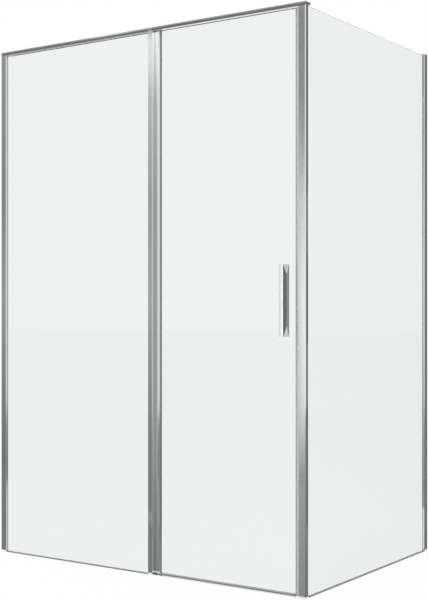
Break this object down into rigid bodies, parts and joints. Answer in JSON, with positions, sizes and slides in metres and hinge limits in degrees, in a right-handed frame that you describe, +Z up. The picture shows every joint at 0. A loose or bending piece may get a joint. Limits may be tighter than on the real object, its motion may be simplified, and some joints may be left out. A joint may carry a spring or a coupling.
{
  "type": "shower enclosure with sliding door",
  "caption": "Corner shower enclosure: framed fixed front pane, top-hung sliding glass door behind it with a bar handle, fixed side pane, slim header and low threshold.",
  "frame": {"origin": "centre of the bounding box's footprint, on the floor", "axes": "+Z up; +X along the front from the left wall to the outer corner, as seen from outside; +Y from the front into the room, along the side pane"},
  "size_m": [1.3, 0.9226, 1.85],
  "materials": {
    "aluminium_polished": "bright polished, anodised",
    "chrome": "bright chrome",
    "chrome_inner": "bright chrome",
    "glass_clear": "clear toughened, faint grey-green tint",
    "rubber_grey": "mid grey, satin",
    "rubber_black": "dark, satin",
    "pvc_clear": "translucent, smooth",
    "magnet_dark": "matt magnetic rubber",
    "plastic_grey": "satin light grey",
    "nylon_white": "satin white",
    "zinc": "die-cast zinc, satin",
    "steel": "stainless, satin"
  },
  "bodies": {
    "frame": {"wall_profile_left": "aluminium_polished", "wall_profile_right": "aluminium_polished", "frame_profile_left": "aluminium_polished", "frame_profile_right": "aluminium_polished", "fixed_stile": "aluminium_polished", "header_rail": "aluminium_polished", "corner_post": "aluminium_polished", "threshold_rail": "aluminium_polished", "header_end_cap": "chrome", "fixed_glass": "glass_clear", "side_glass": "glass_clear", "header_face_strip": "rubber_black", "gasket_frame_left_outer": "rubber_grey", "gasket_stile_outer": "rubber_grey", "gasket_post_outer": "rubber_grey", "gasket_side_outer": "rubber_grey", "fixed_sill": "rubber_grey", "side_sill": "rubber_grey", "stile_lip_seal": "rubber_grey", "stop_buffer_open": "rubber_grey", "stop_buffer_closed": "rubber_grey", "gasket_frame_left_inner": "pvc_clear", "gasket_stile_inner": "pvc_clear", "gasket_post_inner": "pvc_clear", "gasket_side_inner": "pvc_clear", "header_gasket": "pvc_clear", "post_magnet_strip": "pvc_clear", "header_infill": "plastic_grey", "frame_cap_right": "plastic_grey", "screw_covers_left": "plastic_grey", "screw_covers_right": "plastic_grey", "floor_guide": "plastic_grey", "frame_screws_left": "steel", "frame_screws_right": "steel", "header_screws": "steel"},
    "door": {"door_stile": "aluminium_polished", "door_glass": "glass_clear", "gasket_door_outer": "rubber_grey", "gasket_door_inner": "pvc_clear", "door_bottom_seal": "rubber_grey", "door_edge_seal": "pvc_clear", "door_edge_magnet": "magnet_dark", "carriage_left": "zinc", "carriage_right": "zinc", "axle_left": "steel", "axle_right": "steel", "handle_outer": "chrome", "handle_inner": "chrome_inner", "handle_pad_outer": "pvc_clear", "handle_pad_inner": "pvc_clear", "handle_bushes": "nylon_white", "handle_screws": "steel"},
    "roller_left_front": {"roller_left_front": "nylon_white"},
    "roller_left_back": {"roller_left_back": "nylon_white"},
    "roller_right_front": {"roller_right_front": "nylon_white"},
    "roller_right_back": {"roller_right_back": "nylon_white"}
  },
  "joints": [
    {"name": "door_slide", "type": "slide", "parent": "frame", "child": "door", "axis": [-1, 0, 0], "range_m": [0, 0.495]},
    {"name": "spin_left_front", "type": "hinge", "parent": "door", "child": "roller_left_front", "pos_m": [0.11, -0.4283, 1.844], "axis": [0, 1, 0], "range_deg": [-7600, 0]},
    {"name": "spin_left_back", "type": "hinge", "parent": "door", "child": "roller_left_back", "pos_m": [0.11, -0.4162, 1.844], "axis": [0, 1, 0], "range_deg": [-7600, 0]},
    {"name": "spin_right_front", "type": "hinge", "parent": "door", "child": "roller_right_front", "pos_m": [0.565, -0.4283, 1.844], "axis": [0, 1, 0], "range_deg": [-7600, 0]},
    {"name": "spin_right_back", "type": "hinge", "parent": "door", "child": "roller_right_back", "pos_m": [0.565, -0.4162, 1.844], "axis": [0, 1, 0], "range_deg": [-7600, 0]}
  ],
  "couplings": [
    {"joint": "spin_left_front", "follows": "door_slide", "rad_per_m": -266.67},
    {"joint": "spin_left_back", "follows": "door_slide", "rad_per_m": -266.67},
    {"joint": "spin_right_front", "follows": "door_slide", "rad_per_m": -266.67},
    {"joint": "spin_right_back", "follows": "door_slide", "rad_per_m": -266.67}
  ]
}
